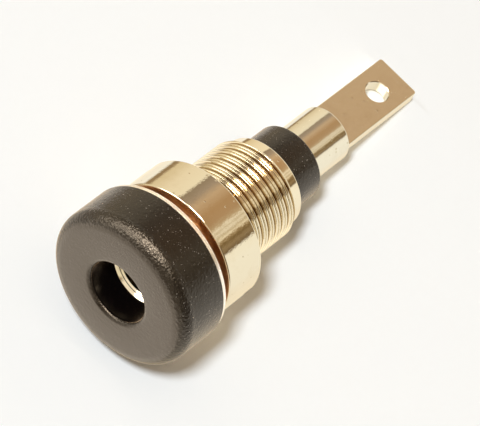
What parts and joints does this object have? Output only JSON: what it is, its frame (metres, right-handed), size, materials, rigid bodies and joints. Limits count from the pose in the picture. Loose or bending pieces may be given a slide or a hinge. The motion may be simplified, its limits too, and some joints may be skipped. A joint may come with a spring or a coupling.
{
  "type": "banana socket",
  "caption": "Insulated panel-mount banana socket: round black head, threaded nickel-plated sleeve with a round nut, recessed 4 mm contact, rear bush and flat solder tab with a hole.",
  "frame": {"origin": "on the socket's axis, at the rear face of the sleeve's flange, where the panel seats", "axes": "+Y along the axis from the head to the tab, so the head's front faces -Y; +Z square to the flat of the tab; +X across the tab"},
  "size_m": [0.0118, 0.0298, 0.0118],
  "materials": {
    "black_moulding": "matte, spark-textured",
    "nickel_sleeve": "polished",
    "nickel_nut": "polished",
    "nickel_contact": "satin",
    "black_bush": "satin"
  },
  "bodies": {
    "socket": {"insulating_head": "black_moulding", "threaded_sleeve": "nickel_sleeve", "contact_socket": "nickel_contact", "rear_bush": "black_bush"},
    "nut": {"round_nut": "nickel_nut"}
  },
  "joints": [
    {"name": "nut_travel", "type": "slide", "parent": "socket", "child": "nut", "axis": [0, 1, 0], "range_m": [-0.00095, 0.0248]}
  ]
}
